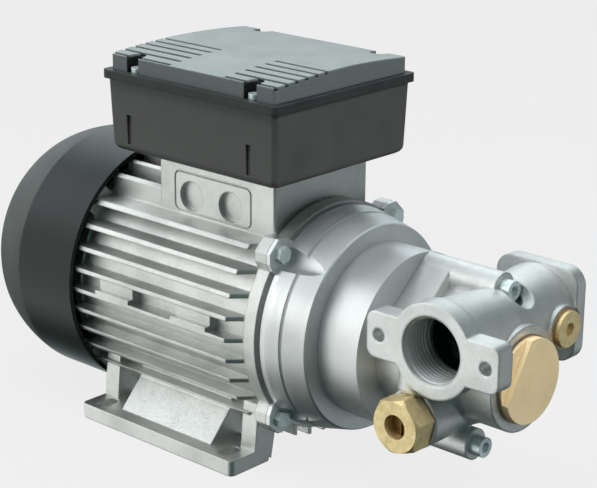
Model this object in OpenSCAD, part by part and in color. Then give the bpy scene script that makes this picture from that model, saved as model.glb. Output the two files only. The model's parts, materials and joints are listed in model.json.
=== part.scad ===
/* [Motor frame] */
// Height of the shaft above the underside of the feet
shaft_h = 71; // [67:0.5:80]
// Radius of the bore that holds the stator
frame_bore_r = 52; // [51:0.25:53]
// Radius of the frame tube at the root of the fins
frame_tube_r = 57; // [56:0.25:58]
// Radius on which the fin tips lie
fin_tip_r = 65; // [63:0.5:65.5]
// Thickness of a cooling fin
fin_t = 2.2; // [1.6:0.1:3]
// Distance from one cooling fin to the next
fin_pitch = 11; // [10.6:0.1:11.2]
// Half the length of the finned frame behind the middle of the feet
frame_rear = 62; // [60:0.5:64]
// Length of the frame in front of the middle of the feet
frame_front = 65; // [63.5:0.5:66]
// Width of the plain ring at the front of the frame
ring_w = 7.5; // [6:0.5:9]
// Radius of the plain ring at the front of the frame
ring_r = 59; // [58.5:0.25:60]

/* [Feet] */
// Distance between the slot rows, across the shaft
foot_a = 112; // [108:1:116]
// Distance between the slots along the shaft
foot_b = 90; // [84:1:94]
// Overall length of a foot along the shaft
foot_len = 111; // [108:1:116]
// Overall width across both feet
foot_span = 131; // [129:1:136]
// Distance between the inner edges of the two feet
foot_gap = 73; // [68:1:76]
// Thickness of the foot plate
foot_t = 8; // [6:0.5:9]
// Width of a foot slot
slot_w = 7; // [6:0.5:8]
// Length of a foot slot from end to end
slot_len = 12; // [9:0.5:14]

/* [Shields] */
// Pitch radius of the bolts that hold the front shield
lug_pitch_r = 60.6; // [60.6:0.1:61.2]
// Half the width of a bolt lug
lug_r = 9.4; // [9:0.1:9.8]
// Radius of the pocket round the head of a shield bolt
lug_pocket_r = 7.5; // [6.5:0.25:7.5]
// Outer radius of the front shield behind its groove
shield_r = 57.3; // [57:0.1:57.8]
// Outer radius of the front shield at its front face
shield_face_r = 52.2; // [51:0.1:53]
// Length of the front shield from the frame to its front face
shield_len = 27.4; // [26.5:0.2:30]

/* [Shaft and bearings] */
// Radius of the shaft in the bearings
journal_r = 7.5; // [7.25:0.05:7.75]
// Outer radius of a bearing
bearing_r = 17.5; // [17:0.25:18]
// Width of a bearing
bearing_w = 11; // [10:0.5:11]
// Number of balls in a bearing
ball_n = 8; // [6:1:8]
// Radius of a bearing ball
ball_r = 2.95; // [2.6:0.05:3]
// Radius of the shaft where it drives the pump
drive_r = 7; // [6.5:0.1:7.2]

/* [Rotor and stator] */
// Length of the laminated cores
core_len = 70; // [60:1:74]
// Radius of the rotor core
rotor_r = 29.9; // [28:0.1:30.2]
// Radius of the bore in the stator core
stator_bore_r = 30.3; // [30.25:0.05:30.6]
// Number of stator slots
stator_slots = 24; // [18:6:30]
// Number of bars in the rotor cage
cage_bars = 20; // [12:2:24]

/* [Fan and cover] */
// Outer radius of the fan cover
cover_r = 68.5; // [68:0.25:70]
// Wall of the fan cover
cover_wall = 2.4; // [1.8:0.1:2.8]
// Length of the straight wall of the fan cover
cover_straight = 41; // [39:0.5:43]
// Length of the rounded back of the fan cover
cover_round = 30.8; // [28:0.4:33]
// Radius of the air grille in the back of the fan cover
grille_r = 55; // [52:0.5:57]
// Radius of the fan
fan_r = 55; // [48:1:58]
// Radius of the hub of the fan
fan_hub_r = 12; // [10:0.5:14]
// Length of a fan blade along the shaft
blade_len = 20; // [14:1:22]
// Thickness of the disc and the blades of the fan
blade_t = 2; // [1.4:0.1:2.6]
// Number of fan blades
fan_blades = 9; // [6:1:12]

/* [Terminal box] */
// Height of the underside of the box above the shaft
box_base_y = 75.7; // [75:0.5:79]
// Height of the box body
box_h = 37.3; // [36:0.5:39]
// Width of the box below its rim
box_w = 100; // [98:1:104]
// Length of the box below its rim
box_len = 116; // [113:1:119]
// Distance from the middle of the feet to the middle of the box
box_mid = 12; // [11:0.5:13.5]
// Wall of the box and its lid
box_wall = 2.6; // [2:0.1:3]
// How far the rim of the lid stands out from the box
rim_out = 2; // [1.6:0.1:2.8]
// Height of the rim of the lid
rim_h = 4.3; // [3.6:0.1:5]
// Height of the raised top of the lid above the rim
lid_rise = 8; // [7:0.2:9]
// Height by which the middle of the lid stands above its long edges
lid_crown = 2.4; // [1.6:0.1:3.2]
// Number of air slots in each group in the lid
vent_n = 6; // [4:1:6]
// Distance from one air slot to the next
vent_pitch = 7; // [6:0.25:7]
// Width of an air slot
vent_w = 2.2; // [1.6:0.1:2.8]
// Length of the front air slots
vent_front_len = 33.7; // [28:0.5:38]
// Length of the rear air slots
vent_rear_len = 41.7; // [34:0.5:44]

/* [Gear pump] */
// Radius of the gear housing
housing_r = 44; // [43.5:0.25:45]
// Length of the gear housing
housing_len = 24.6; // [24.2:0.2:26]
// Width of the two rotors
gear_w = 14; // [12:0.5:14.4]
// Number of teeth inside the outer rotor
outer_teeth = 7; // [7:1:7]
// Radius of the circle through the tooth centres of the outer rotor
tooth_pitch_r = 20; // [19.5:0.1:20.5]
// Radius of a tooth of the outer rotor
tooth_r = 5; // [4.8:0.05:5.2]
// Distance between the axes of the two rotors
ecc = 2.2; // [2:0.05:2.4]
// Outer radius of the outer rotor
outer_rotor_r = 25.5; // [25:0.25:26.5]

/* [Pump head] */
// Radius of the barrel of the pump head
barrel_r = 30; // [29:0.5:31]
// Radius of the nose of the pump head
nose_r = 26; // [25:0.5:27]
// Length of the pump head along the shaft
head_len = 65; // [64:0.5:68]
// Distance from the gear housing to the port axis
port_s = 43.8; // [42:0.2:44]
// Height of the port axis above the shaft
port_y = 18.1; // [17:0.2:19]
// Distance from the shaft to each port face
port_x = 44; // [43:0.5:46]
// Radius of the port thread, one inch pipe thread
port_r = 16.62; // [15:0.02:17]
// Depth of the port thread
port_depth = 19; // [16:0.5:20]
// Radius of the round part of the inlet flange
flange_r = 23; // [22:0.25:24]
// Distance between the two inlet flange holes
ear_pitch = 61.2; // [60:0.2:63]
// Radius of an inlet flange hole
ear_hole_r = 3.3; // [2.8:0.1:3.6]
// Length of the inlet flange over both ears
ear_span = 75.6; // [74:0.2:78]
// Width of an ear of the inlet flange
ear_w = 23; // [21:0.5:25]
// Thickness of the inlet flange
ear_t = 10; // [8:0.5:11]
// Side of the square outlet flange
outlet_side = 47; // [45:0.5:49]
// Distance between the two pump screws
screw_span = 75.8; // [75.4:0.2:76.4]
// Tilt of the line through the two pump screws
screw_tilt = 76.5; // [75:0.5:78]
// Distance from the gear housing to the heads of the pump screws
screw_boss_len = 45; // [43:0.5:47]

/* [Relief valve and plugs] */
// Distance from the gear housing to the axis of the relief valve
valve_s = 30; // [29:0.5:31]
// Depth of the axis of the relief valve below the shaft
valve_drop = 20.7; // [20:0.1:22]
// Width across the flats of the brass relief nut
nut_af = 25; // [24:0.5:26]
// Length of the brass relief nut
nut_len = 12; // [10:0.5:12.5]
// Radius of the relief valve piston
piston_r = 6.9; // [6:0.1:7]
// Opening travel of the relief valve piston
valve_travel = 4; // [2:0.25:4.5]
// Turns of the relief spring
spring_turns = 6; // [4:1:7]
// Radius of the spring wire
wire_r = 0.7; // [0.5:0.05:0.8]
// Radius of the brass plug in the nose of the head
plug_r = 20.8; // [20:0.1:21.5]
// Radius of the collar of the small gauge plug
gauge_r = 9; // [8:0.1:9.5]

/* [Clearances] */
// Radial clearance of a running fit
run_gap = 0.05; // [0.03:0.01:0.08]
// Radial clearance of a located fit
seat_gap = 0.03; // [0.02:0.01:0.05]
// End clearance of the rotors in the gear housing
end_gap = 0.03; // [0.02:0.01:0.05]

/* [Hidden] */
$fn = 96;
eps = 0.01;

// Lengths along the shaft, measured from the middle of the feet towards the pump
spigot_len = 5;
shield_step = 2;
shield_front = frame_front + shield_len;
head_s = shield_front + housing_len;
nose_s = head_s + head_len;
core_rear = -frame_rear + 24;
core_front = core_rear + core_len;
front_bearing_s = 72;
rear_bearing_s = -frame_rear - 3 - bearing_w;
shield_mid = frame_front + 13.7;
cover_front = -frame_rear + 3;
cover_rear = cover_front - cover_straight - cover_round;
fan_disc_s = cover_front - 32;
fan_s = fan_disc_s - blade_len - 1;
shaft_rear = fan_s - 2;

// Radii and places of the motor parts
shaft_body_r = 10;
bearing_pitch_r = (journal_r + bearing_r) / 2;
lug_angles = [45, 135, 225, 315];
bolt_r = 2.5;
bolt_bore_r = 2.75;
bolt_head_r = 4.4;
bolt_head_h = 3;
lug_front = frame_front + 2.4;
fin_side_n = 4;
fin_top_n = 3;
pad_half_w = fin_top_n * fin_pitch + fin_t / 2 + 0.4;
pad_rear = -25;
pad_front = 55.5;
fin_slope = 7;
rest_s = [-43, 12.5];
rest_len = 25;
knockout_r = 8;
knockout_depth = 3;
knockout_y = 55.5;
knockout_s = [-2, 25.4];
panel_s = [-14, 40];
panel_y = [46.5, 68];
panel_line_w = 0.8;
panel_line_depth = 0.8;
foot_y = -shaft_h;
riser_half = 33;
rib_t = 10;

// Sizes of the terminal box and lid
gasket_t = 1;
pad_top = box_base_y - gasket_t;
box_top_y = box_base_y + box_h;
box_draft = 2.2;
box_corner_r = 3;
box_edge = 4;
lid_screw_x = box_w / 2 - 5;
lid_screw_s = box_len / 2 - 17.5;
lid_boss_r = 4.2;
lid_pilot_r = 1.6;
rim_top = box_top_y + rim_h;
vent_first_x = -12;
vent_depth = 1.8;
lid_half_w = box_w / 2 - 1.3;
lid_half_len = box_len / 2 - 1.8;
lid_corner_r = 2;
crown_r = (lid_half_w * lid_half_w + lid_crown * lid_crown) / (2 * lid_crown);
boss_z = box_edge + box_wall;
side_slot_w = 3.4;
side_slot_s = [15 - box_len / 2, box_len / 2 - 18];
side_slot_z = [4.4, 19.8];
block_x = 26 - box_w / 2;
cap_x = box_w / 2 - 28;
seal_t = 1.2;
base_screw_x = 26;
base_screw_s = [-20, 50];
window_w = 30;
window_len = 26;

// Sizes of the gear set
inner_teeth = outer_teeth - 1;
gear_s = head_s - gear_w - 2 * end_gap;
root_r = tooth_pitch_r - tooth_r + 2 * ecc + 0.15;
mesh_gap = 0.08;
key_w = 5;
key_top = 9;
key_len = gear_w - 2;
bush_r = 9.5;
bush_len = 6;
seal_r = 15;
seal_w = 7;
register_r = 20;
register_len = 5.4;

// Sizes of the pump head
head_y = -ecc;
screw_r = 3;
screw_head_r = 5;
screw_head_h = 6;
screw_boss_r = 7.8;
screw_web_len = 18;
screw_dir = [cos(screw_tilt), sin(screw_tilt)];
screw_mid_y = -1.7;
screw_at = [for (side = [1, -1]) [0, screw_mid_y] + side * screw_span / 2 * screw_dir];
screw_spot_r = 6.2;
screw_seat_s = head_s + screw_boss_len;
port_at_s = head_s + port_s;
neck_mid_r = 18.5;
port_bore_r = [14.5, 9.5];
port_end_x = 8;
passage_in_r = 12.5;
passage_out_r = 19.2;
passage_len = port_s - 6;
passage_half_a = 52;
outlet_t = 7;
riser_pipe_r = 8.5;
riser_pipe_s = head_s + valve_s - 0.5;
nose_bore_r = 17;
nose_bore_len = 6.5;
nose_ring_len = 26;
plug_t = 5;
plug_flat = 13;
plug_flat_a = 148;
plug_flat_t = 3;
gauge_x = 29;
gauge_y = 15.5;
gauge_boss_r = 11;
gauge_face_s = nose_s + 1.5;
gauge_bore_r = 6.4;
gauge_bore_len = 5.6;
gauge_spigot = 4.6;
gauge_t = 3;

// Sizes of the relief valve, measured outwards from its seat
valve_y = -valve_drop;
valve_at_s = head_s + valve_s;
valve_face_x = 38.6;
valve_seat_x = 4;
valve_seat_r = 4;
valve_boss_r = 14.5;
valve_bore_r = piston_r + run_gap;
nut_thread_r = 9;
nut_thread_len = 7;
nut_bore_r = 6;
piston_len = 12;
adjuster_r = 5.9;
adjuster_len = 8;
washer_t = 1;
nut_face_x = valve_face_x + washer_t + nut_len;
adjuster_x = nut_face_x - 6;
spring_seat_x = adjuster_x - adjuster_len;
spring_r = 4.6;
piston_back_x = valve_seat_x + piston_len;
spring_x0 = piston_back_x - 4 + seat_gap + wire_r;
spring_x1 = spring_seat_x - seat_gap - wire_r;

// Turns the frame used here into the part's own: local z runs along the shaft to the pump
module on_shaft() { translate([0, 0, shaft_h]) rotate([90, 0, 0]) children(); }

// Runs the local z axis along +x or -x
module along_x(side = 1) { rotate([0, side * 90, 0]) children(); }

// A tube from one end to the other along the shaft
module tube(r1, r0, s0, s1) {
    translate([0, 0, s0]) difference() {
        cylinder(r = r1, h = s1 - s0);
        translate([0, 0, -1]) cylinder(r = r0, h = s1 - s0 + 2);
    }
}

// A plain rod from one end to the other along the shaft
module rod(r, s0, s1) { translate([0, 0, s0]) cylinder(r = r, h = s1 - s0); }

// A rectangle with round corners, centred
module rounded(w, h, r) {
    square([w - 2 * r, h], center = true);
    square([w, h - 2 * r], center = true);
    for (x = [-1, 1], y = [-1, 1]) translate([x * (w / 2 - r), y * (h / 2 - r)]) circle(r);
}

// The straight band that joins two circles along their outer tangents
module belt(c0, r0, c1, r1) {
    d = norm(c1 - c0);
    dir = atan2(c1[1] - c0[1], c1[0] - c0[0]);
    a = acos((r0 - r1) / d);
    function rim(c, r, s) = c + r * [cos(dir + s * a), sin(dir + s * a)];
    polygon([rim(c0, r0, 1), rim(c1, r1, 1), rim(c1, r1, -1), rim(c0, r0, -1)]);
}

// A slab standing on the shaft plane: x across, z along the shaft, rising in y
module slab_y(y0, y1) { translate([0, y1, 0]) rotate([90, 0, 0]) linear_extrude(y1 - y0) children(); }

// The level fins, cut off on the tip circle
module level_fins() {
    intersection() {
        circle(fin_tip_r);
        for (i = [-fin_side_n:fin_side_n]) translate([0, i * fin_pitch])
            square([2 * fin_tip_r, fin_t], center = true);
    }
}

// The upright fins above or below the shaft
module upright_fins(above) {
    intersection() {
        circle(fin_tip_r);
        for (i = [-fin_top_n:fin_top_n])
            translate([i * fin_pitch - fin_t / 2, above ? 0 : -fin_tip_r]) square([fin_t, fin_tip_r]);
    }
}

// The four bolt lugs with their cut corners, seen from the front, inwards to a root radius
module lug_outline(root_r) {
    for (a = lug_angles) rotate(a) translate([lug_pitch_r, 0])
        polygon([[root_r - lug_pitch_r, -lug_r - 0.2], [-1.6, -lug_r], [2.6, 1.4 - lug_r], [6.4, -4.4],
            [6.4, 4.4], [2.6, lug_r - 1.4], [-1.6, lug_r], [root_r - lug_pitch_r, lug_r + 0.2]]);
}

// The cast feet with their sloped risers and end ribs, before the bore is cut
module feet() {
    foot_w = (foot_span - foot_gap) / 2;
    for (side = [-1, 1]) {
        slab_y(foot_y, foot_y + foot_t) translate([side * (foot_span - foot_w) / 2, 0])
            rounded(foot_w, foot_len, 3);
        translate([0, 0, -riser_half]) linear_extrude(2 * riser_half) scale([side, 1])
            polygon([[foot_gap / 2, foot_y + 1], [foot_gap / 2 + 20.8, foot_y + 1],
                [foot_gap / 2 + 20.8, foot_y + foot_t], [43.5, -48], [40, -36], [30, -44]]);
        for (s = [-foot_len / 2, foot_len / 2 - rib_t]) translate([0, 0, s])
            linear_extrude(rib_t) scale([side, 1]) polygon([[foot_gap / 2, foot_y + 1],
                [foot_gap / 2 + 12, foot_y + foot_t - 1], [46, -38], [36, -38], [32, -46]]);
    }
}

module foot_slots() {
    for (x = [-1, 1], s = [-1, 1])
        slab_y(foot_y - 1, foot_y + foot_t + 1) translate([x * foot_a / 2, s * foot_b / 2]) {
            square([slot_len - slot_w, slot_w], center = true);
            for (end = [-1, 1]) translate([end * (slot_len - slot_w) / 2, 0]) circle(slot_w / 2);
        }
}

// The block that carries the terminal box, with its blind cable knockouts
module box_pad() {
    difference() {
        slab_y(30, pad_top) translate([0, (pad_rear + pad_front) / 2])
            rounded(2 * pad_half_w, pad_front - pad_rear, 1.5);
        for (side = [-1, 1], s = knockout_s)
            translate([side * (pad_half_w - knockout_depth), knockout_y, s]) along_x(side)
                cylinder(r = knockout_r, h = knockout_depth + 1);
        for (side = [-1, 1])
            translate([side * (pad_half_w - panel_line_depth), (panel_y[0] + panel_y[1]) / 2,
                (panel_s[0] + panel_s[1]) / 2]) along_x(side) linear_extrude(2) panel_line();
        for (x = [-1, 1], s = base_screw_s)
            translate([x * base_screw_x, pad_top - 12, s]) rotate([-90, 0, 0])
                cylinder(r = lid_pilot_r, h = 13);
        slab_y(20, pad_top + 1) translate([0, 10]) rounded(window_w, window_len, 4);
    }
}

// The shallow line round the knockouts
module panel_line() {
    w = panel_s[1] - panel_s[0];
    h = panel_y[1] - panel_y[0];
    difference() {
        rounded(w, h, 4);
        rounded(w - 2 * panel_line_w, h - 2 * panel_line_w, 4 - panel_line_w);
    }
}

module motor_frame() {
    color("#b9bdc0") on_shaft() difference() {
        union() {
            rod(frame_tube_r, -frame_rear, frame_front);
            intersection() {
                translate([0, 0, -frame_rear + 1])
                    linear_extrude(frame_rear + frame_front - ring_w - 1) level_fins();
                rotate_extrude() polygon([[0, -frame_rear], [fin_tip_r, -frame_rear],
                    [fin_tip_r, frame_front - ring_w - fin_slope], [ring_r - 0.7, frame_front - ring_w],
                    [0, frame_front - ring_w]]);
            }
            translate([0, 0, -frame_rear + 1]) {
                linear_extrude(frame_rear + pad_rear + 2) upright_fins(true);
                linear_extrude(frame_rear + frame_front - ring_w + 0.5) upright_fins(false);
            }
            for (side = [-1, 1], s = rest_s) scale([side, 1, 1]) translate([0, 0, s]) {
                translate([frame_tube_r - 4, 0, 0]) cube([fin_tip_r - frame_tube_r + 0.5, fin_pitch, rest_len]);
                translate([frame_tube_r - 2, -fin_t / 2, 0]) cube([fin_tip_r - frame_tube_r + 1.9, 4.4, rest_len]);
            }
            translate([0, 0, frame_front - ring_w]) linear_extrude(ring_w) {
                circle(ring_r);
                lug_outline(frame_bore_r + 2);
            }
            box_pad();
            feet();
        }
        rod(frame_bore_r, -frame_rear - 1, frame_front + 1);
        foot_slots();
        for (a = lug_angles) rotate(a) translate([lug_pitch_r, 0, 0])
            rod(bolt_r + seat_gap, frame_front - ring_w + 1, frame_front + 1);
        for (a = lug_angles) rotate(a) translate([(frame_bore_r + frame_tube_r) / 2, 0, 0])
            rod(rear_screw_r, -frame_rear - 1, -frame_rear + rear_screw_depth + 1);
    }
}
rear_screw_r = 1.65;
rear_screw_depth = 9;
rear_screw_head_r = 3.2;
rear_screw_head_h = 2.6;

module stator_core() {
    color("#6f7478") on_shaft() difference() {
        tube(frame_bore_r - seat_gap, stator_bore_r, core_rear, core_front);
        for (i = [0:stator_slots - 1]) rotate(i * 360 / stator_slots)
            translate([slot_in_r, -stator_slot_w / 2, core_rear - 1])
                cube([slot_out_r - slot_in_r, stator_slot_w, core_len + 2]);
    }
}
slot_in_r = 32;
slot_out_r = 43;
stator_slot_w = 3.6;

module stator_windings() {
    bar_gap = 0.25;
    turn_len = 15;
    color("#b06a3a") on_shaft() {
        for (s = [core_rear - turn_len, core_front])
            rotate_extrude() translate([(slot_in_r + slot_out_r) / 2, 0])
                translate([0, s + turn_len / 2]) rounded(slot_out_r - slot_in_r, turn_len - 1, 4);
        for (i = [0:stator_slots - 1]) rotate(i * 360 / stator_slots)
            translate([slot_in_r + bar_gap, -stator_slot_w / 2 + bar_gap, core_rear - 3])
                cube([slot_out_r - slot_in_r - 2 * bar_gap, stator_slot_w - 2 * bar_gap, core_len + 6]);
    }
}

module rotor_core() {
    color("#80858a") on_shaft() difference() {
        tube(rotor_r, shaft_body_r + seat_gap, core_rear, core_front);
        cage_holes(cage_bar_r + seat_gap);
    }
}
cage_bar_r = 1.8;
cage_pitch_r = 26.5;

module cage_holes(r) {
    for (i = [0:cage_bars - 1]) rotate(i * 360 / cage_bars)
        translate([cage_pitch_r, 0, 0]) rod(r, core_rear - 1, core_front + 1);
}

module rotor_cage() {
    color("#c3c6c8") on_shaft() {
        tube(rotor_r - 0.5, rotor_r - 7, core_rear - 7, core_rear);
        tube(rotor_r - 0.5, rotor_r - 7, core_front, core_front + 7);
        cage_holes(cage_bar_r);
    }
}

module shaft() {
    color("#9da2a6") on_shaft() difference() {
        union() {
            rod(fan_seat_r, shaft_rear, rear_bearing_s);
            rod(journal_r, rear_bearing_s - 1, rear_bearing_s + bearing_w);
            rod(shaft_body_r, rear_bearing_s + bearing_w, front_bearing_s);
            rod(journal_r, front_bearing_s, seal_s + seal_w + 0.5);
            rod(drive_r, front_bearing_s, head_s - 1);
        }
        translate([-key_w / 2 - seat_gap, drive_r - key_bed, key_s - seat_gap])
            cube([key_w + 2 * seat_gap, 10, key_len + 2 * seat_gap]);
    }
}
fan_seat_r = 6.5;
seal_s = shield_front - 4.5;
key_bed = 3;
key_s = gear_s + 1;

module front_end_shield() {
    inner_r = 48;
    groove = 1;
    lip_s = front_bearing_s + bearing_w + 1.2;
    color("#c0c3c6") on_shaft() difference() {
        union() {
            rotate_extrude() polygon([[register_r + 2, frame_front - spigot_len],
                [frame_bore_r - seat_gap, frame_front - spigot_len], [frame_bore_r - seat_gap, frame_front],
                [shield_r - shield_step, frame_front], [shield_r - shield_step, frame_front + shield_step],
                [shield_r, frame_front + shield_step], [shield_r, frame_front + 5],
                [shield_r - 1.6, shield_mid - 1], [shield_r - 2.2 - groove, shield_mid],
                [shield_r - 1.8, shield_mid + 1], [shield_face_r + 0.6, shield_front - 1],
                [shield_face_r, shield_front], [register_r, shield_front], [register_r, lip_s]]);
            translate([0, 0, frame_front]) linear_extrude(lug_front - frame_front)
                lug_outline(frame_bore_r - 2);
        }
        for (a = lug_angles) rotate(a) translate([lug_pitch_r, 0, 0]) {
            rod(bolt_bore_r, frame_front - 1, lug_front + 1);
            rod(lug_pocket_r, lug_front, shield_front + 1);
        }
        translate([0, 0, frame_front - spigot_len - 1]) linear_extrude(spigot_len + 17) difference() {
            circle(inner_r);
            circle(bearing_r + 5.5);
            for (a = [0:45:315]) rotate(a) translate([0, -2]) square([inner_r, 4]);
        }
        rod(bearing_r + seat_gap, frame_front - spigot_len - 1, front_bearing_s + bearing_w);
        rod(bearing_r - 2.5, front_bearing_s, lip_s + 1);
        rod(register_r, lip_s, shield_front + 1);
        for (at = screw_at) translate(at) rod(screw_r, shield_front - 10, shield_front + 1);
    }
}

module rear_end_shield() {
    color("#b4b8bb") on_shaft() difference() {
        union() {
            tube(frame_tube_r + 1, bearing_r - 2, -frame_rear - spigot_len, -frame_rear);
            tube(frame_bore_r - seat_gap, bearing_r - 2, -frame_rear - 1, -frame_rear + spigot_len);
            tube(bearing_r + 5, bearing_r - 2, rear_bearing_s - 4, -frame_rear);
            for (a = lug_angles) rotate(a) translate([frame_tube_r - 3, -8, -frame_rear - spigot_len])
                cube([cover_r - cover_wall - frame_tube_r + 2.4, 16, spigot_len]);
        }
        rod(bearing_r + seat_gap, rear_bearing_s - 1.4, -frame_rear + spigot_len + 1);
        rod(journal_r + 1.5, rear_bearing_s - 5, -frame_rear);
        translate([0, 0, -frame_rear]) linear_extrude(spigot_len + 1) difference() {
            circle(frame_bore_r - 4);
            circle(bearing_r + 5);
        }
        for (a = lug_angles) rotate(a) translate([(frame_bore_r + frame_tube_r) / 2, 0, 0])
            rod(rear_screw_r + 0.35, -frame_rear - spigot_len - 1, -frame_rear + 1);
    }
}

// A hexagon-head bolt standing on z = 0 with its shank below
module hex_bolt(r, shank, head_r, head_h) {
    cylinder(r = head_r, h = head_h, $fn = 6);
    translate([0, 0, -shank]) cylinder(r = r, h = shank + eps);
}

module shield_bolts() {
    color("#8fa09b") on_shaft() for (a = lug_angles) rotate(a)
        translate([lug_pitch_r, 0, lug_front]) hex_bolt(bolt_r, lug_front - frame_front + ring_w - 2,
            bolt_head_r, bolt_head_h);
}

module rear_shield_screws() {
    color("#8a8f92") on_shaft() for (a = lug_angles) rotate(a)
        translate([(frame_bore_r + frame_tube_r) / 2, 0, -frame_rear - spigot_len]) mirror([0, 0, 1])
            hex_bolt(rear_screw_r - seat_gap, spigot_len + rear_screw_depth, rear_screw_head_r,
                rear_screw_head_h);
}

module bearing_outer(s) {
    color("#a7acb0") on_shaft() translate([0, 0, s]) rotate_extrude() difference() {
        translate([bearing_pitch_r + 2.5, 0]) square([bearing_r - bearing_pitch_r - 2.5, bearing_w]);
        translate([bearing_pitch_r, bearing_w / 2]) circle(ball_r + run_gap);
    }
}

module bearing_inner(s) {
    color("#a7acb0") on_shaft() translate([0, 0, s]) rotate_extrude() difference() {
        translate([journal_r + seat_gap, 0])
            square([bearing_pitch_r - 2.5 - journal_r - seat_gap, bearing_w]);
        translate([bearing_pitch_r, bearing_w / 2]) circle(ball_r + run_gap);
    }
}

// The balls with the thin cage that spaces them
module bearing_balls(s) {
    color("#c9ccce") on_shaft() translate([0, 0, s + bearing_w / 2]) {
        for (i = [0:ball_n - 1]) rotate(i * 360 / ball_n)
            translate([bearing_pitch_r, 0, 0]) sphere(ball_r, $fn = 48);
        tube(bearing_pitch_r + 0.6, bearing_pitch_r - 0.6, -1.6, 1.6);
    }
}

module front_bearing_outer() { bearing_outer(front_bearing_s); }
module front_bearing_inner() { bearing_inner(front_bearing_s); }
module front_bearing_balls() { bearing_balls(front_bearing_s); }
module rear_bearing_outer() { bearing_outer(rear_bearing_s); }
module rear_bearing_inner() { bearing_inner(rear_bearing_s); }
module rear_bearing_balls() { bearing_balls(rear_bearing_s); }

module wave_washer() {
    color("#8d9296") on_shaft()
        tube(bearing_r - 0.5, bearing_r - 3.5, rear_bearing_s - 1.3, rear_bearing_s - 0.1);
}

module fan() {
    disc_front = fan_disc_s + blade_t;
    color("#2a2c2d") on_shaft() difference() {
        union() {
            rod(fan_hub_r, fan_s + 1, disc_front);
            rod(fan_r, fan_disc_s, disc_front);
            for (i = [0:fan_blades - 1]) rotate(i * 360 / fan_blades)
                translate([fan_hub_r - 2, -blade_t / 2, fan_s + 1])
                    cube([fan_r - fan_hub_r + 1, blade_t, blade_len + blade_t / 2]);
        }
        rod(fan_seat_r + seat_gap, fan_s - 2, disc_front + 1);
    }
}

module fan_clip() {
    color("#7d8286") on_shaft() tube(fan_seat_r + 2.5, fan_seat_r + seat_gap, fan_s - 0.4, fan_s + 0.8);
}

module fan_cover() {
    bow = 1.41;
    r1 = cover_r;
    s1 = cover_front - cover_straight;
    // The dome from the straight wall to the flat back, flatter than an ellipse
    function dome(t) = [for (i = [0:12]) let (a = i * 90 / 12)
        [grille_r + (r1 - t - grille_r) * pow(cos(a), bow), s1 - (cover_round - t) * pow(sin(a), bow)]];
    outer = dome(0);
    inner = dome(cover_wall);
    color("#1b1d1e") on_shaft() {
        difference() {
            rotate_extrude() polygon(concat([[r1, cover_front]], outer,
                [[grille_r, cover_rear + cover_wall]],
                [for (i = [11:-1:0]) inner[i]], [[r1 - cover_wall, cover_front]]));
        }
        translate([0, 0, cover_rear]) linear_extrude(cover_wall) cover_grille(grille_r + 1);
    }
}

// The air grille: rings held by radial bars around a plain centre disc
module cover_grille(r) {
    for (k = [0:5]) difference() {
        circle(r - k * 8);
        circle(r - k * 8 - 3.4);
    }
    circle(7);
    for (a = [0:45:315]) rotate(a) translate([5, -1.5]) square([r - 6, 3]);
}

// A rectangular body with a rounded bottom edge that widens towards its top, standing on z = 0
module drafted(w, len, h, draft, r, edge) {
    hull() {
        for (a = [0:22.5:90]) let (cut = draft + 2 * edge * (1 - cos(a)))
            translate([0, 0, edge * (1 - sin(a))]) linear_extrude(eps)
                rounded(w - cut, len - cut, r, $fn = 32);
        translate([0, 0, h - eps]) linear_extrude(eps) rounded(w, len, r, $fn = 32);
    }
}

// Puts a shape on the underside of the box: z rises away from the shaft
module at_box() { translate([0, box_base_y, box_mid]) rotate([-90, 0, 0]) scale([1, -1, 1]) children(); }

// The four places of the lid screws, seen from above
module at_lid_screws() {
    for (x = [-1, 1], s = [-1, 1]) translate([x * lid_screw_x, s * lid_screw_s, 0]) children();
}

module at_base_screws() {
    for (x = [-1, 1], s = base_screw_s) translate([x * base_screw_x, s - box_mid, 0]) children();
}

module terminal_box() {
    color("#3c3d3c") on_shaft() at_box() difference() {
        union() {
            difference() {
                drafted(box_w, box_len, box_h, box_draft, box_corner_r, box_edge);
                translate([0, 0, box_wall]) drafted(box_w - 2 * box_wall, box_len - 2 * box_wall,
                    box_h, box_draft, box_corner_r - 1.5, box_edge - 1.5);
            }
            intersection() {
                translate([0, 0, boss_z]) at_lid_screws() cylinder(r = lid_boss_r, h = box_h - boss_z);
                cube([box_w - box_draft, box_len - box_draft, 2 * box_h], center = true);
            }
        }
        at_lid_screws() translate([0, 0, box_h - 14]) cylinder(r = lid_pilot_r, h = 15);
        at_base_screws() translate([0, 0, -1]) cylinder(r = 2.2, h = box_wall + 2);
        translate([0, 10 - box_mid, -1]) linear_extrude(box_wall + 2) rounded(window_w, window_len, 4);
        for (x = [-1, 1], s = side_slot_s)
            translate([x * box_w / 2, s, (side_slot_z[0] + side_slot_z[1]) / 2])
                cube([4, side_slot_w, side_slot_z[1] - side_slot_z[0]], center = true);
    }
}

module box_gasket() {
    color("#26292a") on_shaft() difference() {
        slab_y(pad_top, box_base_y) translate([0, (pad_rear + pad_front) / 2])
            rounded(2 * pad_half_w - 2, pad_front - pad_rear - 2, 4);
        slab_y(pad_top - 1, box_base_y + 1) translate([0, 10]) rounded(window_w, window_len, 4);
        for (x = [-1, 1], s = base_screw_s) translate([x * base_screw_x, pad_top - 1, s])
            rotate([-90, 0, 0]) cylinder(r = 2.2, h = 4);
    }
}

module terminal_box_screws() {
    color("#9aa0a3") on_shaft() at_box() at_base_screws() translate([0, 0, box_wall]) {
        cylinder(r = 3.4, h = 2.4);
        translate([0, 0, -11]) cylinder(r = lid_pilot_r - seat_gap, h = 11 + eps);
    }
}

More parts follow.
